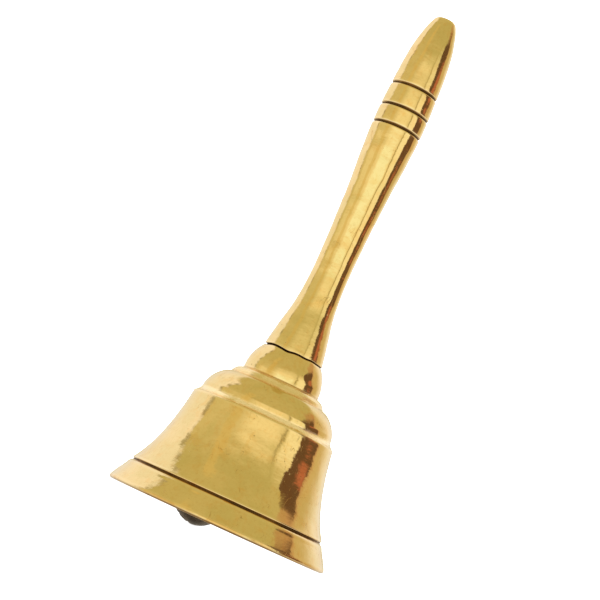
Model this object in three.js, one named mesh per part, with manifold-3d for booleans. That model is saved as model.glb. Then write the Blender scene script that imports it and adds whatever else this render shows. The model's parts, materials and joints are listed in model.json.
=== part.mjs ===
// A brass hand bell: a cast and turned cup, a turned solid handle screwed on from above, and an iron
// clapper that hangs inside the cup from the eye of the bolt that holds the two together.
// Millimetres, +Z up along the bell's axis. The origin is on the axis, level with the clapper ball's
// lowest point, which hangs a little below the rim.
import * as THREE from 'three';
import { mergeVertices } from 'three/addons/utils/BufferGeometryUtils.js';
import Module from 'manifold-3d';

const wasm = await Module();
wasm.setup();

// ---------------------------------------------------------------- driving dimensions
// Heights are above the rim's resting face until the whole bell is lifted at the end of the file.

const HEIGHT = 150; // rim face to handle tip
const MOUTH_R = 31; // outside of the rim
const WALL = 2.7; // cup wall at the rim
const GAP = 0.3; // between two pieces that touch on the real bell

const LIP_TOP = 6.75; // the lip ends in a cut line
const LINE_DEPTH = 0.6; // of every turned line
const LINE_HALF = 0.35; // half its width
const SHOULDER_Z = 30.7; // the cup's first ledge
const BEAD_Z = 38.8; // its second ledge
const COLLAR_Z = 41.1; // foot of the collar under the handle
const COLLAR_TOP = 49.2;
const CROWN_Z = 38.4; // underside of the crown, inside the cup

const HANDLE_LINES = [116.4, 121.7, 128.1]; // heights of the three turned lines on the grip
const TIP_R = 2.4; // flat end of the handle

const STUD_R = 2.5;
const STUD_TOP = 66;
const BORE_R = STUD_R + GAP;
const BORE_TOP = 67; // end of the handle's blind hole

const WASHER_R = 5.2;
const WASHER_T = 0.8;
const SPRING_R = 4.4;
const SPRING_T = 1;
const SPRING_SLOT = 0.9;
const NUT_FLATS = 8;
const NUT_T = 3.2;

const EYE_WIRE = 1.1; // radii of the three wires that hang on each other
const LINK_WIRE = 0.7;
const HOOK_WIRE = 0.9;
const EYE_R = 2.5; // centre lines of the bolt's eye and of the clapper's eye
const HOOK_R = 2.2;
const LINK_R = EYE_WIRE + GAP + LINK_WIRE; // the link's bends turn round the bolt's eye
const LINK_STRAIGHT = EYE_WIRE + HOOK_WIRE + 0.7; // between the centres of its two bends
const LINK_SEAM = 0.4; // the wire's two ends don't quite meet

const BALL_R = 7;
const BALL_SIDE = 6.3; // how far the ball hangs to one side of the axis
const BALL_Z = 4.6; // height of its centre
const ROD_R = 1.1;
const SEAT_R = 2.3; // shoulder of the rod on the ball, and its riveted end
const SEAT_T = 0.8;

// The stack under the crown, from the top down.
const washerTop = CROWN_Z - GAP;
const springTop = washerTop - WASHER_T - GAP;
const nutTop = springTop - SPRING_T - GAP;
const nutBottom = nutTop - NUT_T;
const eyeZ = nutBottom - GAP - EYE_R - EYE_WIRE; // centre of the bolt's eye
const linkPivotZ = eyeZ - EYE_R; // the eye's lowest wire, which the link swings on
const hookTopZ = linkPivotZ - LINK_STRAIGHT; // the clapper eye's highest wire
const clapperPivotZ = hookTopZ - LINK_R; // the link's lowest wire, which the clapper swings on
const clapperLength = Math.hypot(BALL_SIDE, clapperPivotZ - BALL_Z); // pivot to ball centre
const clapperTilt = Math.asin(BALL_SIDE / clapperLength);
const rimZ = BALL_R - BALL_Z; // lifts the whole bell until the ball's lowest point is at zero

// ---------------------------------------------------------------- materials

const metal = (color, roughness) => new THREE.MeshStandardMaterial({ color, roughness, metalness: 1 });
const brass = metal(0xd9b35c, 0.18);
const zincSteel = metal(0xa7a69f, 0.4);
const darkWire = metal(0x6d675f, 0.5);
const castIron = metal(0x4b4238, 0.45);

// ---------------------------------------------------------------- helpers

const point = (r, z) => new THREE.Vector2(r, z);

// Turns an outline of (radius, height) points round the Z axis.
function turned(outline, sides) {
  return new THREE.LatheGeometry(outline, sides).rotateX(Math.PI / 2);
}

function turnedRing(inner, outer, bottom, top, sides) {
  const corners = [point(inner, bottom), point(outer, bottom), point(outer, top), point(inner, top)];
  return turned([...corners, corners[0].clone()], sides);
}

function turnedPin(radius, bottom, top, sides) {
  return turned([point(0, bottom), point(radius, bottom), point(radius, top), point(0, top)], sides);
}

// A closed geometry as a solid that can be joined and cut.
function solid(geometry) {
  const bare = geometry.clone();
  bare.deleteAttribute('normal');
  bare.deleteAttribute('uv');
  const merged = mergeVertices(bare, 1e-4);
  return new wasm.Manifold(new wasm.Mesh({
    numProp: 3,
    vertProperties: merged.getAttribute('position').array,
    triVerts: new Uint32Array(merged.index.array),
  }));
}

function geometryOf(manifold) {
  const mesh = manifold.getMesh();
  const geometry = new THREE.BufferGeometry();
  geometry.setAttribute('position', new THREE.BufferAttribute(mesh.vertProperties, 3));
  geometry.setIndex(new THREE.BufferAttribute(mesh.triVerts, 1));
  geometry.computeVertexNormals();
  return geometry;
}

function named(name, geometry, material) {
  const mesh = new THREE.Mesh(geometry, material);
  mesh.name = name;
  return mesh;
}

// ---------------------------------------------------------------- cup

// One closed outline: the rim's face, up the outside over the ledges and the collar, down the bolt
// hole, under the crown and down the inside.
function cupOutline() {
  const edge = 0.35;
  const lineR = MOUTH_R - 3.5; // where the lip meets the waist
  const waistTopR = 20.2;
  const shoulderR = 18.9;
  const domeTopR = 14.2;
  const beadR = 13.4;
  const collarR = 10.95;
  const collarTopR = 8.2;
  const hollowTopR = 15.9;

  const path = new THREE.Path();
  path.moveTo(MOUTH_R - WALL, 0);
  path.lineTo(MOUTH_R - edge, 0);
  path.lineTo(MOUTH_R, edge);
  path.lineTo(lineR + LINE_HALF, LIP_TOP);
  path.lineTo(lineR - LINE_DEPTH, LIP_TOP + LINE_HALF);
  path.lineTo(lineR - LINE_HALF / 2, LIP_TOP + 2 * LINE_HALF);
  path.quadraticCurveTo(22.2, 15, waistTopR, SHOULDER_Z - 0.6);
  path.quadraticCurveTo(waistTopR - 0.05, SHOULDER_Z - 0.1, waistTopR - 0.6, SHOULDER_Z);

  path.lineTo(shoulderR, SHOULDER_Z + 0.8);
  path.lineTo(shoulderR - 0.35, SHOULDER_Z + 2.7);
  path.quadraticCurveTo(17.3, 37.2, domeTopR, BEAD_Z);

  path.lineTo(beadR, BEAD_Z + 0.15);
  path.lineTo(beadR - 0.5, BEAD_Z + 1.1);
  path.lineTo(beadR - 1.6, COLLAR_Z - 0.25);

  path.lineTo(collarR, COLLAR_Z);
  path.lineTo(collarR - 0.2, COLLAR_Z + 1.4);
  path.quadraticCurveTo(10.35, 46.3, collarTopR, COLLAR_TOP - 0.25);
  path.lineTo(collarTopR - 0.3, COLLAR_TOP);
  path.lineTo(BORE_R, COLLAR_TOP);

  path.lineTo(BORE_R, CROWN_Z);
  path.lineTo(9.5, CROWN_Z);
  path.quadraticCurveTo(hollowTopR - 0.7, CROWN_Z - 0.2, hollowTopR, 33);
  path.lineTo(17.4, 28.8);
  path.quadraticCurveTo(19.4, 15.2, lineR - WALL, LIP_TOP + 0.45);
  path.lineTo(MOUTH_R - WALL, 0);
  return path.getPoints(5);
}

// ---------------------------------------------------------------- handle

const handleFoot = COLLAR_TOP + GAP;
const gripCurve = new THREE.SplineCurve([
  point(8.4, handleFoot + 0.4),
  point(7.2, 55.9),
  point(5.65, 64),
  point(5.05, 73),
  point(5.2, 84),
  point(5.75, 98),
  point(6.6, 109),
  point(6.9, 120),
  point(6.45, 132),
  point(5.6, 140.5),
  point(4.3, 146.3),
  point(TIP_R + 0.7, HEIGHT - 0.7),
]);

// The outside radius of the grip at a height, read from its curve.
function gripRadius(z) {
  const samples = gripCurve.getPoints(400);
  const above = samples.findIndex((p) => p.y >= z);
  const [low, high] = [samples[above - 1], samples[above]];
  return THREE.MathUtils.mapLinear(z, low.y, high.y, low.x, high.x);
}

function handleOutline() {
  const line = (z) => [
    point(gripRadius(z - LINE_HALF), z - LINE_HALF),
    point(gripRadius(z) - LINE_DEPTH, z),
    point(gripRadius(z + LINE_HALF), z + LINE_HALF),
  ];
  const lines = HANDLE_LINES.flatMap(line);
  const clearOfLines = (p) => HANDLE_LINES.every((z) => Math.abs(p.y - z) > 3 * LINE_HALF);
  const grip = [...gripCurve.getPoints(34).filter(clearOfLines), ...lines].sort((a, b) => a.y - b.y);
  return [
    point(0, BORE_TOP + 1.6), // the drill's point
    point(BORE_R, BORE_TOP),
    point(BORE_R, handleFoot),
    point(8, handleFoot),
    ...grip,
    point(TIP_R, HEIGHT),
    point(0, HEIGHT),
  ];
}

// ---------------------------------------------------------------- fixings under the crown

// A threaded stud that ends in a forged eye, whose hole runs along Y.
function eyeBolt() {
  const stud = turned([
    point(0, eyeZ + EYE_R - 0.2),
    point(1.7, eyeZ + EYE_R - 0.2),
    point(STUD_R, nutBottom),
    point(STUD_R, STUD_TOP - 0.8),
    point(STUD_R - 0.7, STUD_TOP),
    point(0, STUD_TOP),
  ], 24);
  const eye = new THREE.TorusGeometry(EYE_R, EYE_WIRE, 10, 28).rotateX(Math.PI / 2).translate(0, 0, eyeZ);
  return geometryOf(solid(stud).add(solid(eye)));
}

// A split ring: the slot lets it bite into the nut and the washer.
function springWasher() {
  const half = SPRING_SLOT / 2 / SPRING_R;
  const shape = new THREE.Shape();
  shape.absarc(0, 0, SPRING_R, half, 2 * Math.PI - half, false);
  shape.absarc(0, 0, BORE_R, 2 * Math.PI - 1.5 * half, 1.5 * half, true);
  const ring = new THREE.ExtrudeGeometry(shape, { depth: SPRING_T, bevelEnabled: false, curveSegments: 14 });
  return ring.translate(0, 0, springTop - SPRING_T);
}

// A hexagon with both faces turned down to a circle at the corners.
function hexNut() {
  const cornerR = NUT_FLATS / Math.sqrt(3);
  const corners = Array.from({ length: 6 }, (_, i) => {
    const angle = (i * Math.PI) / 3;
    return point(cornerR * Math.cos(angle), cornerR * Math.sin(angle));
  });
  const prism = new THREE.ExtrudeGeometry(new THREE.Shape(corners), { depth: NUT_T, bevelEnabled: false });
  prism.translate(0, 0, nutBottom);
  const chamfer = 0.4;
  const faceR = NUT_FLATS / 2 - 0.1;
  const blank = turned([
    point(0, nutBottom),
    point(faceR, nutBottom),
    point(cornerR, nutBottom + chamfer),
    point(cornerR, nutTop - chamfer),
    point(faceR, nutTop),
    point(0, nutTop),
  ], 36);
  const hole = turnedPin(BORE_R, nutBottom - 1, nutTop + 1, 24);
  return geometryOf(solid(prism).intersect(solid(blank)).subtract(solid(hole)));
}

// ---------------------------------------------------------------- link and clapper

// A wire bent into a closed link in the YZ plane. Its upper bend turns round the origin, and the
// wire's two ends meet halfway down one side.
function link() {
  const bendSteps = 9;
  const bend = (centreZ, from) => Array.from({ length: bendSteps + 1 }, (_, i) => {
    const angle = from + (i * Math.PI) / bendSteps;
    return new THREE.Vector3(0, LINK_R * Math.cos(angle), centreZ + LINK_R * Math.sin(angle));
  });
  const middle = -LINK_STRAIGHT / 2;
  const path = new THREE.CatmullRomCurve3([
    new THREE.Vector3(0, LINK_R, middle + LINK_SEAM / 2),
    ...bend(0, 0),
    ...bend(-LINK_STRAIGHT, Math.PI),
    new THREE.Vector3(0, LINK_R, middle - LINK_SEAM / 2),
  ]);
  const section = new THREE.Shape().absarc(0, 0, LINK_WIRE, 0, 2 * Math.PI, false);
  return new THREE.ExtrudeGeometry(section, { extrudePath: path, steps: 40, curveSegments: 5 });
}

// The clapper's rod hangs straight down from its pivot at the origin: an eye, a shoulder that the
// ball is driven up to, and an end riveted over in the ball's countersink.
function clapperRod() {
  const hook = new THREE.TorusGeometry(HOOK_R, HOOK_WIRE, 10, 24).rotateX(Math.PI / 2);
  const hookZ = LINK_R - HOOK_R;
  hook.translate(0, 0, hookZ);
  const ballTop = BALL_R - clapperLength;
  const ballBottom = -BALL_R - clapperLength;
  const rod = turned([
    point(0, ballBottom + 0.15),
    point(SEAT_R - GAP - 0.1, ballBottom + 0.35),
    point(ROD_R, ballBottom + 1.5),
    point(ROD_R, ballTop + GAP),
    point(SEAT_R, ballTop + GAP),
    point(SEAT_R, ballTop + SEAT_T),
    point(ROD_R, ballTop + SEAT_T + 0.5),
    point(ROD_R, hookZ - HOOK_R),
    point(0, hookZ - HOOK_R),
  ], 20);
  return geometryOf(solid(rod).add(solid(hook)));
}

// A ball flattened under the shoulder, drilled through and countersunk below.
function clapperBall() {
  const flat = Math.sqrt(BALL_R ** 2 - (SEAT_R + 0.3) ** 2);
  const holeR = ROD_R + GAP;
  const countersinkR = SEAT_R;
  const start = Math.asin(countersinkR / BALL_R) - Math.PI / 2;
  const end = Math.acos((SEAT_R + 0.3) / BALL_R);
  const steps = 16;
  const side = Array.from({ length: steps + 1 }, (_, i) => {
    const angle = THREE.MathUtils.lerp(start, end, i / steps);
    return point(BALL_R * Math.cos(angle), BALL_R * Math.sin(angle));
  });
  const outline = [
    point(holeR, 1.6 - BALL_R),
    ...side,
    point(holeR, flat),
    point(holeR, 1.6 - BALL_R),
  ];
  return turned(outline, 32).translate(0, 0, -clapperLength);
}

// ---------------------------------------------------------------- assembly

const clapper = new THREE.Group();
clapper.add(named('clapper_rod', clapperRod(), darkWire));
clapper.add(named('clapper_ball', clapperBall(), castIron));
clapper.position.set(0, 0, clapperPivotZ - linkPivotZ);
clapper.rotation.y = clapperTilt;

const hanger = new THREE.Group();
hanger.add(named('clapper_link', link(), zincSteel));
hanger.add(clapper);
hanger.position.set(0, 0, linkPivotZ);

const bell = new THREE.Group();
bell.add(named('bell_cup', turned(cupOutline(), 48), brass));
bell.add(named('handle', turned(handleOutline(), 32), brass));
bell.add(named('eye_bolt', eyeBolt(), zincSteel));
bell.add(named('flat_washer', turnedRing(BORE_R, WASHER_R, washerTop - WASHER_T, washerTop, 32), zincSteel));
bell.add(named('spring_washer', springWasher(), zincSteel));
bell.add(named('hex_nut', hexNut(), zincSteel));
bell.add(hanger);
bell.position.z = rimZ;

export default bell;
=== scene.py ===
"""A turned brass hand bell with an iron clapper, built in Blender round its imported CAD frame.

Outlines are in millimetres, as (radius, height) with heights above the rim's face. Meshes are in metres.
"""
import json
import math

import bpy
import numpy as np
from mathutils import Matrix, Vector, noise


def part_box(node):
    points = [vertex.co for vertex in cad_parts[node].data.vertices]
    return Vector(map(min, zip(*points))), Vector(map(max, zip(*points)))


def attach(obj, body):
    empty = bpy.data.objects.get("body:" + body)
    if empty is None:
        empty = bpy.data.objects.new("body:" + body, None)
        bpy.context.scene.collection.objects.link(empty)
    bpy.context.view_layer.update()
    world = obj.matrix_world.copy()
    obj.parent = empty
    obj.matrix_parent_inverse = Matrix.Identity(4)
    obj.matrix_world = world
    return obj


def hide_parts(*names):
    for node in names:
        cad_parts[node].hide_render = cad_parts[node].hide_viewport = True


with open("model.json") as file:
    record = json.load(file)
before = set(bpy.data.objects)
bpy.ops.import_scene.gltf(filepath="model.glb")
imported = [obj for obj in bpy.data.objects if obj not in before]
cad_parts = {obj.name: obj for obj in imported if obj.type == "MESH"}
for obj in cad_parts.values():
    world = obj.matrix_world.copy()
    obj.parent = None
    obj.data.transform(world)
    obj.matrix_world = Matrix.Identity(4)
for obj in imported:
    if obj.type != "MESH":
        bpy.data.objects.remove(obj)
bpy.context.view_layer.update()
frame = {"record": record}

MM = 0.001

# ------------------------------------------------------------------ sizes

# From the CAD frame, in metres unless a height, a radius or a length.
cup_low, cup_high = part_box("bell_cup")
handle_low, handle_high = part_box("handle")
RIM = cup_low.z
MOUTH_R = cup_high.x / MM


def height(z):
    """A height in the frame as millimetres above the rim's face."""
    return (z - RIM) / MM


COLLAR_TOP = height(cup_high.z)
HANDLE_FOOT = height(handle_low.z)
HANDLE_TOP = height(handle_high.z)
PIVOTS = {joint["name"]: Vector(joint["pos_m"]) for joint in frame["record"]["behaviour"]["joints"]}
LINK_PIVOT = PIVOTS["link_swing"]
CLAPPER_PIVOT = PIVOTS["clapper_swing"]
ball_low, ball_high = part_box("clapper_ball")
BALL_CENTRE = (ball_low + ball_high) / 2
BALL_R = (ball_high.x - ball_low.x) / 2 / MM

# In millimetres, and not in the frame.
GAP = 0.3  # round the stud, and between the ball and the rod's shoulder
LINE_DEPTH = 0.6  # of the cut lines, with half of their width
LINE_HALF = 0.5
LIP_LINE = 7.1  # heights of the cut lines
GRIP_LINES = (116.4, 121.7, 128.1)
CROWN = 38.4  # underside of the crown
STUD_R = 2.5
BORE_R = STUD_R + GAP
BORE_MARGIN = 0.3  # how far outside the bore a point still counts as on its face
HOLLOW_REACH = 0.7  # how far round a point its hollowness is measured
HOLLOW_UNIT = 0.1  # the depth that counts as 1


# ------------------------------------------------------------------ outlines

def arc_to(start, control, end, step=0.5):
    """A quadratic curve as points about step apart, without its last point."""
    start, control, end = (np.array(p, float) for p in (start, control, end))
    count = max(2, int(np.linalg.norm(end - start) / step))
    t = np.arange(count)[:, None] / count
    return list((1 - t) ** 2 * start + 2 * t * (1 - t) * control + t**2 * end)


def through(points, steps=12):
    """A smooth curve through the points (Catmull-Rom)."""
    p = np.array([points[0], *points, points[-1]], float)
    curve = []
    for a, b, c, d in zip(p, p[1:], p[2:], p[3:]):
        for t in np.arange(steps) / steps:
            curve.append(0.5 * (2 * b + (c - a) * t + (2 * a - 5 * b + 4 * c - d) * t**2
                                + (3 * b - a - 3 * c + d) * t**3))
    return [*curve, p[-1]]


def travelled(points):
    """The distance along a line at each of its points."""
    return np.r_[0, np.cumsum(np.linalg.norm(np.diff(points, axis=0), axis=1))]


def resample(points, step, closed):
    """The same line as points an even step apart."""
    p = np.array(points, float)
    if closed:
        p = np.vstack([p, p[:1]])
    lengths = travelled(p)
    count = int(lengths[-1] / step) + 1
    at = np.linspace(0, lengths[-1], count, endpoint=not closed)
    return np.stack([np.interp(at, lengths, p[:, i]) for i in range(p.shape[1])], axis=1)


def blurred(points, reach, step, closed):
    """The line smoothed over a reach in millimetres, its ends kept in place."""
    spread = max(1, int(3 * reach / step))
    weights = np.exp(-0.5 * (np.arange(-spread, spread + 1) * step / reach) ** 2)
    weights /= weights.sum()
    if closed:
        padded = np.vstack([points[-spread:], points, points[:spread]])
    else:
        before = 2 * points[0] - points[spread:0:-1]
        after = 2 * points[-1] - points[-2:-spread - 2:-1]
        padded = np.vstack([before, points, after])
    return np.stack([np.convolve(padded[:, i], weights, "valid") for i in range(points.shape[1])], axis=1)


def inside_bore(r, z, bore):
    """Whether a point of an outline is on the face whose radius is bore(z)."""
    return bore is not None and r < bore(z) + BORE_MARGIN


def finished(points, edge, closed, widest, bend, bore):
    """An outline with its edges rounded as polishing leaves them.

    Returns (points, hollows): hollows is positive inside a cut line or a corner and negative on an
    edge, in units of 0.1 mm. Points are close together only where the line bends: at most widest
    millimetres or bend degrees apart, and three times that on the face inside the bore.
    """
    step = 0.06
    even = resample(points, step, closed)
    soft = blurred(even, edge, step, closed)
    broad = blurred(even, HOLLOW_REACH, step, closed)
    along = np.gradient(soft, axis=0)
    outward = np.stack([along[:, 1], -along[:, 0]], axis=1)
    outward /= np.maximum(np.linalg.norm(outward, axis=1, keepdims=True), 1e-9)
    hollows = ((broad - soft) * outward).sum(axis=1) / HOLLOW_UNIT
    headings = np.unwrap(np.arctan2(along[:, 1], along[:, 0]))
    kept = [0]
    for i in range(1, len(soft) - 1):
        coarse = 3 if inside_bore(*soft[i], bore) else 1
        turn = abs(headings[i] - headings[kept[-1]])
        if turn > math.radians(bend * coarse) or (i - kept[-1]) * step > widest * coarse:
            kept.append(i)
    if not closed:
        kept.append(len(soft) - 1)
    return soft[kept], hollows[kept]


def with_lines(points, heights, step=0.1):
    """Cuts a V line into an outline's side at each height."""
    cut = []
    for r, z in resample(points, step, False):
        depth = max(0.0, *(1 - abs(z - line) / LINE_HALF for line in heights))
        cut.append((r - LINE_DEPTH * depth, z))
    return cut


# ------------------------------------------------------------------ meshes

def circle(sides):
    """Even angles round a circle."""
    return np.arange(sides) * 2 * math.pi / sides


def skin(name, rings, wrap_rings=False, capped=False):
    """A mesh over closed rings of points: rings[i][j], in metres."""
    rings = np.asarray(rings, float)
    count, size = rings.shape[:2]
    last_ring = count if wrap_rings else count - 1
    i, j = np.meshgrid(np.arange(last_ring), np.arange(size), indexing="ij")
    i, j, up, on = i.ravel(), j.ravel(), (i.ravel() + 1) % count, (j.ravel() + 1) % size
    faces = np.stack([i * size + j, i * size + on, up * size + on, up * size + j], axis=1).tolist()
    if capped:
        faces.append(list(range(size))[::-1])
        faces.append(list(range((count - 1) * size, count * size)))
    mesh = bpy.data.meshes.new(name)
    mesh.from_pydata(rings.reshape(-1, 3).tolist(), [], faces)
    mesh.polygons.foreach_set("use_smooth", [True] * len(mesh.polygons))
    piece = bpy.data.objects.new(name, mesh)
    bpy.context.scene.collection.objects.link(piece)
    return piece


def note(piece, name, values, kind="FLOAT"):
    """Keeps a value at every vertex for the materials to read."""
    field = {"FLOAT": "value", "FLOAT_VECTOR": "vector", "FLOAT_COLOR": "color"}[kind]
    layer = piece.data.attributes.new(name, kind, "POINT")
    layer.data.foreach_set(field, np.asarray(values, float).ravel())


def apply_modifiers(piece):
    """Replaces the piece's mesh by what its modifiers make of it."""
    done = bpy.data.meshes.new_from_object(piece.evaluated_get(bpy.context.evaluated_depsgraph_get()))
    piece.modifiers.clear()
    old, piece.data = piece.data, done
    bpy.data.meshes.remove(old)


def weld(piece):
    """Joins the vertices that meet at a pole."""
    join = piece.modifiers.new("weld", "WELD")
    join.merge_threshold = 1e-6
    apply_modifiers(piece)


def merge(piece, other):
    """Makes one closed mesh of a piece and another that it overlaps."""
    join = piece.modifiers.new("merge", "BOOLEAN")
    join.operation, join.object, join.solver = "UNION", other, "EXACT"
    apply_modifiers(piece)
    bpy.data.objects.remove(other)


def unevenness(point, size, seed):
    """Smooth noise from -1 to 1 at a point in millimetres, with lumps of about that size."""
    return noise.noise(Vector(point) / size + Vector((seed, 3.1 * seed, -seed)))


def uneven_radius(radius, angle, z, hand, seed):
    """A radius as hand polishing leaves it: small and large lumps, each wider than it is tall."""
    small, large, flatness = 5.0, 16.0, 1.6
    at = (radius * math.cos(angle), radius * math.sin(angle), z * flatness)
    return radius + hand * (unevenness(at, small, seed) + unevenness(at, large, seed + 5))


def turned(name, outline, hollows, sides, closed, radius_at=None, hand=0.0, seed=1.0, lines=(),
           ledges=(), bore=None, shift=None):
    """Turns an outline round the bell's axis.

    hand is how far, in millimetres, hand polishing has left the surface uneven. radius_at(angle)
    limits the radius, which makes flats such as a nut's. lines are the dark lines round its outside,
    as (height, half width, strength). ledges are pale bands painted on the ledges as a highlight, as
    (strength, lowest, highest, softness). bore(z) is the radius of its inner face, which is left rough.
    shift(angle, z) is how far up a point moves where an edge wanders.
    """
    axis_r = 0.5  # the surface stays even nearer the axis than this
    angles = circle(sides)
    rings = np.empty((len(outline), sides, 3))
    for i, (r, z) in enumerate(outline):
        for j, angle in enumerate(angles):
            radius = min(r, radius_at(angle)) if radius_at else r
            if hand and r > axis_r:
                radius = uneven_radius(radius, angle, z, hand, seed)
            rise = shift(angle, z) if shift else 0.0
            rings[i, j] = (radius * math.cos(angle), radius * math.sin(angle), z + rise)
    rings[..., 2] += RIM / MM
    piece = skin(name, rings * MM, wrap_rings=closed)
    around = np.tile(np.stack([np.cos(angles), np.sin(angles)], axis=1), (len(outline), 1))
    lathe = np.column_stack([np.repeat(travelled(outline), sides), around])
    inside = np.array([inside_bore(r, z, bore) for r, z in outline], float)
    cuts = [max([0.0, *(dark * (1 - abs(z - line) / half) for line, half, dark in lines)])
            for r, z in outline]
    # pale bands painted on the ledges as a highlight
    ledge_highlight = np.array([max([0.0, *(pale * band(z, *where) for pale, *where in ledges)])
                       for r, z in outline])
    note(piece, "lathe", lathe, "FLOAT_VECTOR")
    note(piece, "hollow", np.repeat(hollows, sides))
    note(piece, "cut", np.repeat(cuts * (1 - inside), sides))
    note(piece, "inside", np.repeat(inside, sides))
    note(piece, "ledge_highlight", np.repeat(ledge_highlight * (1 - inside), sides))
    weld(piece)
    return piece


def lathed(name, outline, edge, sides, closed=False, widest=1.4, bend=4.0, bore=None, **more):
    """Rounds an outline's edges and turns it: see finished() and turned()."""
    points, hollows = finished(outline, edge, closed, widest, bend, bore)
    return turned(name, points, hollows, sides, closed, bore=bore, **more)


def tube(name, centres, radius, sides=20, across=(1, 0, 0)):
    """A round wire along a line of points in metres. across is a direction that it never runs in."""
    rounding, blunt = 5, 0.75  # points in each rounded end, and its first one's share of the radius
    centres = np.asarray(centres, float)
    along = np.gradient(centres, axis=0)
    along /= np.linalg.norm(along, axis=1, keepdims=True)
    side = np.cross(along, across)
    side /= np.linalg.norm(side, axis=1, keepdims=True)
    other = np.cross(along, side)
    radii = np.full(len(centres), radius)
    ease = np.linspace(0, 1, rounding) ** 2
    ends = radius * np.sqrt(np.maximum(0, 1 - (1 - ease) ** 2)) * (1 - blunt) + radius * blunt
    radii[:rounding] = np.minimum(radii[:rounding], ends)
    radii[-rounding:] = np.minimum(radii[-rounding:], ends[::-1])
    angles = circle(sides)
    rings = (centres[:, None, :]
             + radii[:, None, None] * (np.cos(angles)[None, :, None] * side[:, None, :]
                                       + np.sin(angles)[None, :, None] * other[:, None, :]))
    return skin(name, rings, capped=True)


# ------------------------------------------------------------------ cup and handle

def joint_wander(angle, z, edge, mean, right):
    """How far up an edge beside the joint has moved: its mean, more to the right, and uneven all round."""
    amount, lump, seed = 0.3, 3.5, 31.0
    joint_r, reach = 8, 0.8
    uneven = amount * unevenness((joint_r * math.cos(angle), joint_r * math.sin(angle), 0), lump, seed)
    return (mean + right * math.cos(angle) + uneven) * math.exp(-((z - edge) / reach) ** 2)


def make_cup():
    """The cup: lip, cut line, flared waist, two ledges, dome, bead and collar, and its bored inside."""
    lip_r = MOUTH_R - 3.35
    rim_r = MOUTH_R - 2.6  # where the rim's face meets the bore
    waist_r = 20.2
    waist_top, shoulder, bead, collar = 30.1, 31.6, 38.95, 41.1
    hollow_r, hollow_top = 15.9, 33
    throat_r, throat = 24.8, 7.2  # where the inner wall's straight flare to the rim starts
    outside = [
        (rim_r, 0.0),
        (MOUTH_R - 0.55, 0.0),
        (MOUTH_R - 0.1, 0.45),
        (MOUTH_R - 0.15, 0.9),
        *arc_to((MOUTH_R - 0.3, 1.3), (lip_r + 1.6, 4.0), (lip_r + 0.7, 5.4)),
        *arc_to((lip_r + 0.7, 5.4), (lip_r + 0.45, 6.1), (lip_r, LIP_LINE - LINE_HALF), 0.2),
        (lip_r - 0.15 - LINE_DEPTH, LIP_LINE),
        *arc_to((lip_r - 0.3, LIP_LINE + LINE_HALF), (22.2, 15), (waist_r, waist_top)),
        *arc_to((waist_r, waist_top), (20.15, waist_top + 0.55), (19.5, waist_top + 0.6), 0.15),
        (18.95, shoulder - 0.1),
        (18.75, shoulder + 0.25),
        *arc_to((18.55, shoulder + 1.8), (17.3, 37.1), (14.25, bead - 0.15)),
        (13.45, bead),
        (12.95, bead + 0.95),
        *arc_to((12.7, bead + 1.2), (12.2, bead + 1.85), (11.1, collar - 0.05), 0.3),
        (10.85, collar + 0.1),
        *arc_to((10.8, collar + 1.9), (10.4, 46.4), (8.25, COLLAR_TOP - 0.1)),
        (8.1, COLLAR_TOP),
        (BORE_R, COLLAR_TOP),
    ]
    inside = [
        (BORE_R, CROWN),
        *arc_to((9.5, CROWN), (hollow_r - 0.7, CROWN - 0.2), (hollow_r, hollow_top)),
        (hollow_r, hollow_top),
        *arc_to((17.4, 28.8), (19.4, 15.2), (throat_r, throat), 1.0),
        (throat_r, throat),
    ]
    wall_r, wall_z = zip((rim_r, 0), *inside[:1:-1])

    def bore(z):
        """The radius of the inner face: nothing at the rim, the wall, the crown, then the stud's hole."""
        rim_edge, crown_r = 0.4, 12
        if z < rim_edge:
            return 0
        if z < CROWN - 0.1:
            return np.interp(z, wall_z, wall_r)
        return crown_r if z < CROWN + 0.25 else BORE_R

    lines = (
        (LIP_LINE, LINE_HALF, 1),  # the cut line
        (COLLAR_TOP, 0.24, 1),  # the joint
        (0, 1.3, 0.32),  # painted shade: a dark band at the rim's edge and in the corners beside the ledges
        (waist_top + 0.65, 0.4, 0.15),
        (bead, 0.45, 0.17),
        (collar + 0.1, 0.45, 0.15),
    )
    # painted highlight: pale bands on the ledge above the waist and between the bead and the collar
    ledges = (
        (1, waist_top + 0.75, shoulder + 0.3, 0.4),
        (0.5, bead + 0.1, collar, 0.4),
    )
    return lathed("cup", outside + inside, 0.11, 288, closed=True, widest=0.5, bend=2.5, bore=bore,
                  hand=0.06, seed=2.0, lines=lines, ledges=ledges,
                  shift=lambda angle, z: joint_wander(angle, z, COLLAR_TOP, 0.0, 0.05))


def make_handle():
    """The handle: a slim waisted grip with three cut lines, bored from below for the stud."""
    bore_end, bore_tip = 67, 68.6
    grip = through([
        (8.35, HANDLE_FOOT + 0.12), (7.2, 55.9), (5.65, 64), (5.05, 73), (5.2, 84), (5.75, 98),
        (6.6, 109), (6.9, 120), (6.45, 132), (5.6, 140.5), (4.3, 146.3), (3.1, HANDLE_TOP - 0.7),
    ])
    outline = [
        (0, bore_tip),
        (BORE_R, bore_end),
        (BORE_R, HANDLE_FOOT),
        (8.15, HANDLE_FOOT),
        *with_lines(grip, GRIP_LINES),
        (2.5, HANDLE_TOP - 0.15),
        (1.7, HANDLE_TOP),
        (0, HANDLE_TOP),
    ]
    lines = [(HANDLE_FOOT, 0.2, 1), *((line, LINE_HALF, 1) for line in GRIP_LINES)]
    return lathed("turned_handle", outline, 0.13, 180, widest=0.45, bend=3, hand=0.07, seed=9.0, lines=lines,
                  shift=lambda angle, z: joint_wander(angle, z, HANDLE_FOOT, -0.1, -0.05))


# ------------------------------------------------------------------ fixings under the crown

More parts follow.
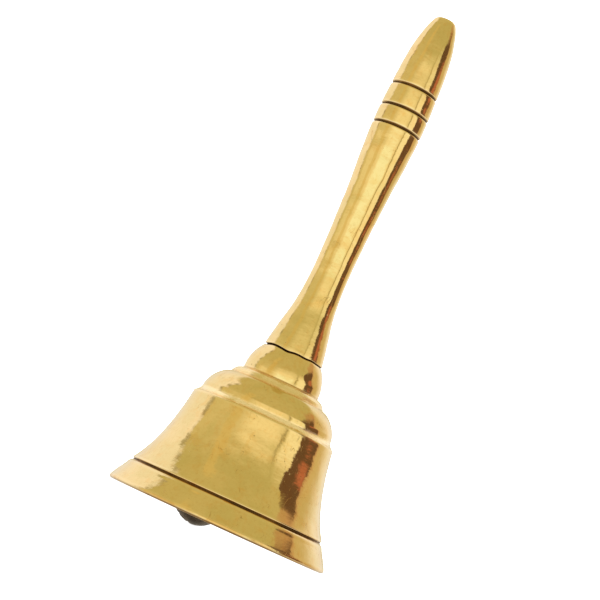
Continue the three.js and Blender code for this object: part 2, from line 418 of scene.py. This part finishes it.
def make_flat_washer():
    """A washer as big as its CAD node."""
    low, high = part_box("flat_washer")
    outer = high.x / MM
    bottom, top = height(low.z), height(high.z)
    corners = [(BORE_R, bottom), (outer, bottom), (outer, top), (BORE_R, top)]
    return lathed("plain_washer", corners, 0.08, 96, closed=True, widest=0.6, hand=0.01, seed=4.0)


def make_spring_washer():
    """A split ring of square wire whose two ends are sprung apart."""
    low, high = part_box("spring_washer")
    outer, bottom, top = high.y / MM, height(low.z), height(high.z)
    spring, corner, slot = 0.1, 0.12, 0.105  # rise and corner radius; half of the slot's angle
    middle, half_width = (outer + BORE_R) / 2, (outer - BORE_R) / 2
    half_height = (top - bottom) / 2 - spring
    section = []
    for quarter, (sx, sz) in enumerate(((1, -1), (1, 1), (-1, 1), (-1, -1))):
        for k in range(4):
            angle = math.pi / 2 * (quarter - 1 + k / 3)
            section.append((sx * (half_width - corner) + corner * math.cos(angle),
                            sz * (half_height - corner) + corner * math.sin(angle)))
    rings = []
    for angle in np.linspace(slot, 2 * math.pi - slot, 120):
        rise = spring * (angle / math.pi - 1)
        rings.append([((middle + x) * math.cos(angle), (middle + x) * math.sin(angle),
                       (bottom + top) / 2 + rise + z + RIM / MM) for x, z in section[::-1]])
    return skin("split_washer", np.array(rings) * MM, capped=True)


def make_nut():
    """A hexagon nut, chamfered outside and at both ends of its hole."""
    low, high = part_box("hex_nut")
    flats = high.y / MM
    corner = flats / math.cos(math.pi / 6)
    bottom, top = height(low.z), height(high.z)
    face, chamfer, lead = flats - 0.15, 0.45, 0.35
    inner = BORE_R - 0.1
    outline = [
        (inner, bottom + lead), (inner + lead, bottom), (face, bottom), (corner, bottom + chamfer),
        (corner, top - chamfer), (face, top), (inner + lead, top), (inner, top - lead),
    ]

    def flat(angle):
        """The radius of the hexagon, a little within its CAD node."""
        return flats / math.cos((angle + math.pi / 6) % (math.pi / 3) - math.pi / 6) - 0.03

    return lathed("nut", outline, 0.07, 180, closed=True, widest=0.5,
                  radius_at=lambda angle: flat(angle - math.pi / 6))


def make_eye_bolt():
    """A stud with a rolled thread, drawn down to a neck and forged into an eye."""
    low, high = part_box("eye_bolt")
    top = height(high.z)
    nut_bottom = height(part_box("hex_nut")[0].z)
    eye_wire = 1.1
    eye_r = (high.x - low.x) / 2 / MM - eye_wire
    eye_z = height(low.z) + eye_wire + eye_r
    pitch, depth, sharpness, sides = 0.8, 0.34, 1.15, 48
    neck_r, neck_low, neck_high = 1.7, eye_z + eye_r - 0.5, nut_bottom - 0.7
    crest_r, tip_r = STUD_R - 0.02, STUD_R - 0.55
    run_out, chamfer, taper = 0.6, 0.35, 0.5  # how the thread and then its crests end at the tip
    heights = np.arange(nut_bottom - 0.3, top - run_out, pitch / 8)
    rings = [[(neck_r, z)] * sides for z in (neck_low, neck_high)]
    for z in heights:
        run_in = min(1.0, (z - heights[0]) / run_out, (heights[-1] - z) / run_out)
        row = []
        for j in range(sides):
            phase = (z / pitch - j / sides) % 1.0
            groove = max(0.0, 1 - abs(phase - 0.5) * 2 * sharpness)
            end = taper * max(0.0, chamfer - (heights[-1] - z))
            row.append((crest_r - depth * groove * run_in - end, z))
        rings.append(row)
    rings.append([(tip_r, top)] * sides)
    points = [[(r * math.cos(a), r * math.sin(a), z + RIM / MM) for (r, z), a in zip(row, circle(sides))]
              for row in rings]
    stud = skin("forged_eye_bolt", np.array(points) * MM, capped=True)

    loops = [[((eye_r + eye_wire * math.cos(s)) * math.cos(t),
               -eye_wire * math.sin(s),
               eye_z + (eye_r + eye_wire * math.cos(s)) * math.sin(t) + RIM / MM)
              for s in circle(24)[::-1]] for t in circle(72)]
    merge(stud, skin("eye", np.array(loops) * MM, wrap_rings=True))
    return stud


# ------------------------------------------------------------------ link and clapper

def make_link():
    """Wire bent into a long loop in the YZ plane; its ends meet halfway down one side."""
    wire, bend, seam = 0.7, 2.1, 0.2
    straight = (LINK_PIVOT.z - CLAPPER_PIVOT.z) / MM - bend
    upper, lower = np.linspace(0, math.pi, 30), np.linspace(math.pi, 2 * math.pi, 30)
    line = [(0, bend, -straight / 2 + seam), (0, bend, -0.5)]
    line += [(0, bend * math.cos(a), bend * math.sin(a)) for a in upper]
    line += [(0, bend * math.cos(a), -straight + bend * math.sin(a)) for a in lower]
    line += [(0, bend, -straight / 2 - seam)]
    centres = resample(line, 0.14, False) * MM + np.array(LINK_PIVOT)
    return tube("wire_link", centres, wire * MM)


CLAPPER_LENGTH = (BALL_CENTRE - CLAPPER_PIVOT).length / MM


def place_clapper(piece):
    """Moves a piece made hanging from the rim's centre to where the CAD clapper leans."""
    down = (BALL_CENTRE - CLAPPER_PIVOT).normalized()
    lean = Vector((0, 0, -1)).rotation_difference(down).to_matrix().to_4x4()
    piece.data.transform(Matrix.Translation(CLAPPER_PIVOT) @ lean @ Matrix.Translation((0, 0, -RIM)))


def make_rod():
    """A wire bent into an eye at its top, with a shoulder above the ball and a riveted end below it."""
    wire = 0.95
    eye_r, eye_z = 2.15, -0.1
    shoulder = BALL_R - CLAPPER_LENGTH + GAP
    start, end = math.radians(-58), math.radians(226)
    loop = [(eye_r * math.cos(a), 0, eye_z + eye_r * math.sin(a)) for a in np.linspace(start, end, 44)]
    shank = through([(0, 0, shoulder + 0.6), (0, 0, -9), (0, 0, -6), (0.02, 0, -4.6), (0.35, 0, -3.3),
                     loop[0]], 8)
    centres = resample([*shank[:-1], *loop], 0.2, False) * MM
    centres[:, 2] += RIM
    rod = tube("bent_rod", centres, wire * MM, sides=24, across=(0, 1, 0))

    foot = -BALL_R - CLAPPER_LENGTH
    stem_r = 1.1
    rivet = [
        (0, foot + 0.1), (stem_r, foot + 0.16), (1.8, foot + 0.5), (stem_r, foot + 1.5),
        (stem_r, shoulder), (2.3, shoulder), (2.3, shoulder + 0.5), (1.5, shoulder + 0.9),
        (1.05, shoulder + 1.5), (0, shoulder + 1.5),
    ]
    merge(rod, lathed("stem", rivet, 0.1, 48, widest=0.8, hand=0.04, seed=14.0))
    place_clapper(rod)
    return rod


def make_ball():
    """A drilled ball, flat under the shoulder and countersunk below, with a slightly uneven skin."""
    hole, seat, sink = 1.4, 2.3, 1.6
    upper = math.acos((seat + 0.3) / BALL_R)
    lower = math.asin(seat / BALL_R) - math.pi / 2
    side = [(BALL_R * math.cos(a), BALL_R * math.sin(a)) for a in np.linspace(lower, upper, 60)]
    outline = [(hole, sink - BALL_R), *side, (hole, BALL_R * math.sin(upper))]
    outline = [(r, z - CLAPPER_LENGTH) for r, z in outline]
    ball = lathed("drilled_ball", outline, 0.12, 112, closed=True, widest=0.45, hand=0.07, seed=21.0)
    place_clapper(ball)
    return ball


# ------------------------------------------------------------------ materials

class Nodes:
    """A material's node tree with short calls for the nodes that the metals share."""

    def __init__(self, name):
        self.material = bpy.data.materials.new(name)
        self.material.use_nodes = True
        self.tree = self.material.node_tree
        self.shader = self.tree.nodes["Principled BSDF"]

    def add(self, kind, **settings):
        node = self.tree.nodes.new(kind)
        for key, value in settings.items():
            setattr(node, key, value)
        return node

    def link(self, source, target):
        self.tree.links.new(source, target)

    def attribute(self, name, output="Fac"):
        """A value that turned() has kept on the mesh."""
        return self.add("ShaderNodeAttribute", attribute_name=name).outputs[output]

    def place(self, source="object", scale=(1, 1, 1), offset=(0, 0, 0)):
        """A coordinate in millimetres: the object's own, or an attribute's."""
        if source == "object":
            factor = 1 / MM
            vector = self.add("ShaderNodeTexCoord").outputs["Object"]
        else:
            factor = 1
            vector = self.attribute(source, "Vector")
        move = self.add("ShaderNodeMapping")
        move.inputs["Scale"].default_value = [factor * s for s in scale]
        move.inputs["Location"].default_value = offset
        self.link(vector, move.inputs["Vector"])
        return move.outputs["Vector"]

    def noise(self, vector, scale, detail=3.0, rough=0.55, bend=0.0):
        """Smooth noise round 0.5, with about scale lumps to the millimetre."""
        node = self.add("ShaderNodeTexNoise")
        node.inputs["Scale"].default_value = scale
        node.inputs["Detail"].default_value = detail
        node.inputs["Roughness"].default_value = rough
        node.inputs["Distortion"].default_value = bend
        self.link(vector, node.inputs["Vector"])
        return node.outputs["Fac"]

    def spots(self, vector, scale, size):
        """1 inside small round spots, 0 elsewhere."""
        cells = self.add("ShaderNodeTexVoronoi")
        cells.inputs["Scale"].default_value = scale
        self.link(vector, cells.inputs["Vector"])
        return self.ramp(cells.outputs["Distance"], size, size * 0.4)

    def hairlines(self, vector, scale, where):
        """1 on thin wandering scratches in the places that are marked, 0 elsewhere."""
        middle, edge, core = 0.5, 0.006, 0.001
        lumps = self.noise(vector, scale, 1, 0.4, 0.4)
        off_line = self.math("ABSOLUTE", self.math("SUBTRACT", lumps, middle))
        return self.math("MULTIPLY", self.ramp(off_line, edge, core), where)

    def ramp(self, value, low, high):
        """0 at low, 1 at high and beyond."""
        node = self.add("ShaderNodeMapRange", interpolation_type="SMOOTHSTEP")
        node.inputs["From Min"].default_value = low
        node.inputs["From Max"].default_value = high
        self.link(value, node.inputs["Value"])
        return node.outputs["Result"]

    def math(self, operation, a, b=0):
        """One sum on two numbers, each a constant or another node's value."""
        node = self.add("ShaderNodeMath", operation=operation)
        for value, socket in zip((a, b), node.inputs):
            if isinstance(value, (int, float)):
                socket.default_value = value
            else:
                self.link(value, socket)
        return node.outputs["Value"]

    def plus(self, value, more, share):
        """A value with a share of another added."""
        return self.math("ADD", value, self.math("MULTIPLY", more, share))

    def blend(self, factor, a, b):
        """Mixes two colours; each is a tuple or another node's colour."""
        node = self.add("ShaderNodeMix", data_type="RGBA")
        self.link(factor, node.inputs["Factor"])
        for value, socket in zip((a, b), (node.inputs[6], node.inputs[7])):
            if isinstance(value, tuple):
                socket.default_value = (*value, 1)
            else:
                self.link(value, socket)
        return node.outputs[2]

    def tint(self, color, mask, strength, new):
        """Turns a colour towards a new one where the mask is, at most by the strength."""
        return self.blend(self.math("MULTIPLY", mask, strength), color, new)

    def bump(self, value, depth, under=None):
        """Raises the surface by value times depth, in metres, over an earlier bump."""
        node = self.add("ShaderNodeBump")
        node.inputs["Distance"].default_value = depth
        self.link(value, node.inputs["Height"])
        if under:
            self.link(under, node.inputs["Normal"])
        return node.outputs["Normal"]

    def finish(self, color, roughness, normal, metallic=1.0):
        """Joins everything to the shader and gives the material. metallic is a constant or a value."""
        self.link(color, self.shader.inputs["Base Color"])
        self.link(roughness, self.shader.inputs["Roughness"])
        self.link(normal, self.shader.inputs["Normal"])
        if isinstance(metallic, float):
            self.shader.inputs["Metallic"].default_value = metallic
        else:
            self.link(metallic, self.shader.inputs["Metallic"])
        return self.material


def brass():
    """Polished brass: lathe marks round it, cloudy patina, dark cut lines, pits and fine scratches, pale
    bands of painted highlight on the ledges, and painted shade at the rim's edge and in the corners beside
    the ledges.
    """
    gold, olive = (0.87, 0.69, 0.37), (0.8, 0.65, 0.33)
    copper, orange = (0.83, 0.58, 0.26), (0.82, 0.56, 0.22)
    dull, bright = (0.66, 0.46, 0.2), (0.93, 0.78, 0.47)
    pitted, scratched = (0.2, 0.12, 0.05), (0.3, 0.18, 0.07)
    rubbed, pale, shaded = (0.94, 0.78, 0.48), (0.9, 0.76, 0.48), (0.36, 0.21, 0.08)
    amber, brown, dirty = (0.77, 0.47, 0.16), (0.27, 0.15, 0.05), (0.14, 0.08, 0.03)
    inner_light, inner_dark = (0.62, 0.44, 0.2), (0.4, 0.27, 0.12)

    n = Nodes("brass")
    body = n.place()
    hollow, cut, inside, ledge_highlight = (n.attribute(name) for name in ("hollow", "cut", "inside", "ledge_highlight"))
    clouds = n.noise(body, 0.085, 4, 0.6, 0.4)
    mottle = n.noise(n.place(offset=(4, 7, 1)), 0.45, 5, 0.6)
    patches = n.noise(n.place(offset=(1, 8, 3)), 0.16, 6, 0.65, 0.8)
    grain = n.noise(n.place(offset=(6, 2, 5)), 1.3, 4, 0.7)
    rings = n.noise(n.place("lathe", (1, 2.2, 2.2)), 1.4, 2)
    streaks = n.noise(body, 0.13, 4, 0.65)
    stain = n.ramp(n.noise(body, 0.12, 5, 0.6, 0.6), 0.35, 0.65)
    turning = n.math("MULTIPLY", n.noise(n.place("lathe", (1, 0.6, 0.6)), 2.2, 2), inside)
    waves = n.noise(n.place(scale=(1, 1, 1.7)), 0.28, 2)

    pits = n.math("MULTIPLY", n.spots(body, 0.4, 0.08), n.ramp(mottle, 0.5, 0.6))
    scuffs = n.hairlines(n.place(scale=(1, 0.6, 0.3), offset=(9, 2, 5)), 0.45, n.ramp(patches, 0.5, 0.6))
    satin = n.ramp(n.math("ABSOLUTE", hollow), 0.25, 1.3)
    # painted highlight: the pale ledge bands, broken up by the mottle; they are also rougher and less
    # metallic
    ledge_highlight_mask = n.math("MULTIPLY", ledge_highlight, n.ramp(mottle, 0.25, 0.5))
    # amber near the dark lines: patina along the cut lines and the joint, painted shade at the rim's edge
    # and in the corners beside the ledges
    patina_and_shade = n.math("MULTIPLY", n.ramp(cut, 0.0, 0.14), n.ramp(patches, 0.36, 0.6))
    packed = n.math("ADD", cut, n.plus(n.math("MULTIPLY", mottle, 0.7), streaks, 1.3))
    dirt = n.ramp(packed, 1.35, 1.8)

    color = n.blend(n.ramp(clouds, 0.42, 0.62), gold, olive)
    for mask, strength, new in (
        (n.ramp(mottle, 0.5, 0.68), 0.5, copper),
        (n.ramp(patches, 0.52, 0.66), 0.5, orange),
        (n.ramp(grain, 0.5, 0.75), 0.4, dull),
        (n.ramp(grain, 0.45, 0.25), 0.35, bright),
        (pits, 0.7, pitted),
        (scuffs, 0.5, scratched),
        (satin, 0.6, rubbed),
        # painted highlight on the ledges
        (ledge_highlight_mask, 0.5, pale),
        (n.ramp(hollow, 1.2, 2.6), 0.55, shaded),
        (patina_and_shade, 0.7, amber),
        # dark brown in the cut lines and the joint, and painted shade at the rim's edge
        (n.ramp(cut, 0.14, 0.28), 0.75, brown),
    ):
        color = n.tint(color, mask, strength, new)
    color = n.blend(dirt, color, dirty)
    color = n.blend(inside, color, n.blend(stain, inner_light, inner_dark))

    roughness = 0.05
    for value, share in (
        (n.ramp(clouds, 0.35, 0.7), 0.05),
        (n.ramp(rings, 0.45, 0.8), 0.05),
        (n.math("MAXIMUM", satin, ledge_highlight_mask), 0.1),
        (dirt, 0.4),
        (inside, 0.28),
    ):
        roughness = n.plus(roughness, value, share)

    normal = None
    for value, depth in (
        (turning, 3e-5),
        (rings, 6e-6),
        (waves, 5e-5),
        (grain, 5e-6),
        (scuffs, -1e-5),
        (pits, -6e-5),
    ):
        normal = n.bump(value, depth, normal)
    # a little less metallic on the painted ledge highlight
    return n.finish(color, roughness, normal, n.math("SUBTRACT", 1.0, n.math("MULTIPLY", ledge_highlight_mask, 0.13)))


def plated_steel():
    """Dull zinc with a faint yellow tinge and small dark spots."""
    light, dark, spot = (0.62, 0.6, 0.54), (0.45, 0.42, 0.35), (0.2, 0.15, 0.1)
    n = Nodes("plated_steel")
    body = n.place()
    clouds = n.noise(body, 0.9, 4, 0.6)
    color = n.blend(n.ramp(clouds, 0.35, 0.65), light, dark)
    color = n.tint(color, n.spots(body, 1.1, 0.2), 0.5, spot)
    return n.finish(color, n.plus(0.25, clouds, 0.25), n.bump(n.noise(body, 4.0, 3), 1e-5))


def clapper_iron():
    """Dark oiled iron, cloudy and pitted, with rusty grain."""
    black, grey, rust = (0.045, 0.033, 0.022), (0.1, 0.075, 0.05), (0.13, 0.065, 0.03)
    n = Nodes("clapper_iron")
    body = n.place()
    clouds = n.noise(body, 0.5, 5, 0.65)
    grain = n.noise(n.place(offset=(3, 1, 8)), 2.6, 4, 0.6)
    color = n.blend(n.ramp(clouds, 0.35, 0.65), black, grey)
    color = n.tint(color, n.ramp(grain, 0.58, 0.72), 0.6, rust)
    normal = n.bump(n.spots(body, 0.9, 0.3), -4e-5, n.bump(grain, 5e-5))
    return n.finish(color, n.plus(0.3, grain, 0.3), normal, 0.85)


# ------------------------------------------------------------------ studio

CEILING = (0.64, 0.55, 0.24)  # light that the gold panel shares with the rest of the room
SEAM = (0.42, 0.35, 0.16)


def smooth(value, low, high):
    """0 at low, 1 at high and beyond, with a smooth rise between."""
    t = min(1.0, max(0.0, (value - low) / (high - low)))
    return t * t * (3 - 2 * t)


def band(value, low, high, soft):
    """1 from low to high, falling to 0 over the soft width outside."""
    return smooth(value, low - soft, low) * (1 - smooth(value, high, high + soft))


def mixed(a, b, t):
    """A colour on the way from one to another."""
    return tuple(x + (y - x) * t for x, y in zip(a, b))


def gold_panel(azimuth, elevation):
    """The light of the folded gold panel behind the camera, with a window, a glare and a bright strip.

    Places across the panel are azimuths, as (left, right, softness).
    """
    panel, fold = (0.78, 0.67, 0.34), (0.8, 0.62, 0.24)
    window, glare, strip = (1.06, 0.93, 0.56), (1.12, 1.14, 0.82), (1.12, 1.02, 0.68)
    window_at, sill_at, glare_at = (-10, 20, 32), (-75, 30, 8), (-14, 26, 12)
    fold_at, seam_at, strip_from = (-48, -38, 5), (38.5, 40, 1.5), (42, 45)
    window_top, sill_top, glare_top, panel_top = (14, 36), (6, 11), (4, 13), (10, 40)
    sill_strength = fold_strength = 0.6

    low_down = 1 - smooth(elevation, *window_top)
    sill = (1 - smooth(elevation, *sill_top)) * band(azimuth, *sill_at)
    color = mixed(panel, CEILING, smooth(elevation, *panel_top))
    color = mixed(color, window, low_down * band(azimuth, *window_at))
    color = mixed(color, window, sill_strength * sill)
    color = mixed(color, glare, (1 - smooth(elevation, *glare_top)) * band(azimuth, *glare_at))
    color = mixed(color, fold, fold_strength * band(azimuth, *fold_at))
    color = mixed(color, strip, low_down * smooth(azimuth, *strip_from))
    return mixed(color, SEAM, low_down * band(azimuth, *seam_at))


def room_light(azimuth, elevation):
    """The light that reaches the bell from a direction: 0 is the camera's side and 90 the right."""
    wall, far_wall, right_wall = (1.1, 1.02, 0.9), (0.98, 0.92, 0.84), (0.72, 0.56, 0.27)
    door, red = (0.17, 0.093, 0.047), (0.56, 0.19, 0.1)
    floor, below, behind = (1.0, 0.95, 0.84), (0.5, 0.42, 0.3), (0.8, 0.71, 0.48)
    far_from, right_from, right_to, back_from = (130, 165), (60, 61), (112, 148), (160, 166)
    panel_left, panel_past_door, panel_soft, left_seam_at = -91, 10, 2, (-97, -92, 1.5)
    door_soft, door_top, ceiling_from, back_top = 1.5, (34, 44), (46, 54), (30, 50)
    low_glow, high_glow, glow_at, low_strength = (3, 6.5, 1.5), (18, 22, 4), (86, 92, 7), 0.7
    fringe_from, fringe_width, fringe_strength = (80, 81), 9, 0.45
    floor_from, deep_from = (6, 14), (25, 80)

    # The doorway is slanted, and every upright edge wavers.
    door_left = 69 - 9 * smooth(elevation, 18, 30) + 34 * smooth(elevation, 30, 50)
    door_right = 101 - 7 * smooth(elevation, 12, 24) + 14 * smooth(elevation, 27, 45)
    azimuth += 1.3 * math.sin(elevation * 0.37) + 0.4 * math.sin(elevation * 0.93 + 1)
    around = abs(azimuth)

    # White walls, golden to the right, with the panel and a broken dark seam at its left edge.
    wall = mixed(wall, far_wall, smooth(around, *far_from))
    right = mixed(right_wall, wall, smooth(azimuth, *right_to))
    color = mixed(wall, right, smooth(azimuth, *right_from))
    on_panel = band(azimuth, panel_left, door_left + panel_past_door, panel_soft)
    color = mixed(color, gold_panel(azimuth, elevation), on_panel)
    seam_strength = 0.5 + 0.4 * math.sin(elevation * 0.6)
    color = mixed(color, SEAM, band(azimuth, *left_seam_at) * seam_strength)

    # The dark doorway, with two red glows in it and a red fringe on its right.
    glow = max(low_strength * band(elevation, *low_glow), band(elevation, *high_glow))
    reddish = glow * band(azimuth, *glow_at)
    fringe = (1 - smooth(azimuth, door_right, door_right + fringe_width)) * smooth(azimuth, *fringe_from)
    color = mixed(color, red, fringe_strength * fringe)
    dark = band(azimuth, door_left, door_right, door_soft) * (1 - smooth(elevation, *door_top))
    color = mixed(color, mixed(door, red, reddish), dark)

    # The ceiling, the wall straight behind the bell and the floor.
    color = mixed(color, CEILING, smooth(elevation, *ceiling_from))
    color = mixed(color, behind, smooth(around, *back_from) * (1 - smooth(elevation, *back_top)))
    under = mixed(floor, below, smooth(-elevation, *deep_from))
    return mixed(color, under, smooth(-elevation, *floor_from))


def make_room():
    """A shell of light that only reflections see: pale walls, a gold panel and a dark doorway."""
    radius, centre_z = 2.0, 0.07
    rings, lights = [], []
    for elevation in np.linspace(-89, 89, 179):
        e = math.radians(elevation)
        row = []
        for azimuth in np.linspace(-180, 180, 361)[:-1]:
            a = math.radians(azimuth)
            row.append((radius * math.sin(a) * math.cos(e), -radius * math.cos(a) * math.cos(e),
                        radius * math.sin(e) + centre_z))
            lights.append((*room_light(azimuth, elevation), 1.0))
        rings.append(row)
    room = skin("room", rings, capped=True)
    note(room, "light", lights, "FLOAT_COLOR")
    material = bpy.data.materials.new("room_light")
    material.use_nodes = True
    nodes = material.node_tree.nodes
    nodes.clear()
    glow = nodes.new("ShaderNodeEmission")
    value = nodes.new("ShaderNodeAttribute")
    value.attribute_name = "light"
    out = nodes.new("ShaderNodeOutputMaterial")
    material.node_tree.links.new(value.outputs["Color"], glow.inputs["Color"])
    material.node_tree.links.new(glow.outputs["Emission"], out.inputs["Surface"])
    material.cycles.emission_sampling = "NONE"
    room.data.materials.append(material)
    room.visible_camera = False
    room.visible_diffuse = False
    room.visible_transmission = False
    room.visible_shadow = False


def make_floor():
    """White paper just under the bell, which reflections don't see."""
    clearance = 0.0002
    bpy.ops.mesh.primitive_plane_add(size=8, location=(0, 0, min(ball_low.z, RIM) - clearance))
    floor = bpy.context.object
    floor.name = "floor"
    paper = bpy.data.materials.new("paper")
    paper.use_nodes = True
    shader = paper.node_tree.nodes["Principled BSDF"]
    shader.inputs["Base Color"].default_value = (0.2, 0.2, 0.2, 1)
    shader.inputs["Emission Color"].default_value = (1, 1, 1, 1)
    shader.inputs["Emission Strength"].default_value = 1.0
    shader.inputs["Roughness"].default_value = 0.9
    shader.inputs["Specular IOR Level"].default_value = 0.0
    floor.data.materials.append(paper)
    floor.visible_glossy = False


def make_light():
    """Even white light from all round, which reflections don't see."""
    world = bpy.data.worlds.new("studio")
    world.use_nodes = True
    background = world.node_tree.nodes["Background"]
    background.inputs["Color"].default_value = (1, 1, 1, 1)
    background.inputs["Strength"].default_value = 2.4
    bpy.context.scene.world = world
    world.cycles_visibility.glossy = False


def make_camera():
    """Just above the rim's height, as far off as gives the bell its perspective, and rolled to one side."""
    distance, above_rim = 0.5228, 0.00466
    yaw, pitch, roll = (math.radians(a) for a in (-0.497, 6.441, 24.647))
    ahead = Vector((math.sin(yaw) * math.cos(pitch), math.cos(yaw) * math.cos(pitch), math.sin(pitch)))
    level = Vector((math.cos(yaw), -math.sin(yaw), 0))
    upright = level.cross(ahead)
    right = math.cos(roll) * level + math.sin(roll) * upright
    up = math.cos(roll) * upright - math.sin(roll) * level
    data = bpy.data.cameras.new("camera")
    data.sensor_width = 36
    data.lens = 118.1
    camera = bpy.data.objects.new("camera", data)
    turn = Matrix((right, up, -ahead)).transposed().to_4x4()
    camera.matrix_world = Matrix.Translation((0, -distance, RIM + above_rim)) @ turn
    bpy.context.scene.collection.objects.link(camera)
    bpy.context.scene.camera = camera


# ------------------------------------------------------------------ assembly

def dress(piece, slot, body, node):
    """Gives a piece its material and the body that it rides on, and hides the CAD node that it stands for.
    """
    piece.data.materials.clear()
    piece.data.materials.append(METALS[slot])
    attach(piece, body)
    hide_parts(node)


make_camera()
make_light()
make_floor()
make_room()

METALS = {"brass": brass(), "plated_steel": plated_steel(), "clapper_iron": clapper_iron()}
dress(make_cup(), "brass", "bell", "bell_cup")
dress(make_handle(), "brass", "bell", "handle")
dress(make_eye_bolt(), "plated_steel", "bell", "eye_bolt")
dress(make_flat_washer(), "plated_steel", "bell", "flat_washer")
dress(make_spring_washer(), "plated_steel", "bell", "spring_washer")
dress(make_nut(), "plated_steel", "bell", "hex_nut")
dress(make_link(), "plated_steel", "link", "clapper_link")
dress(make_rod(), "clapper_iron", "clapper", "clapper_rod")
dress(make_ball(), "clapper_iron", "clapper", "clapper_ball")

bpy.context.scene.view_settings.view_transform = "Standard"
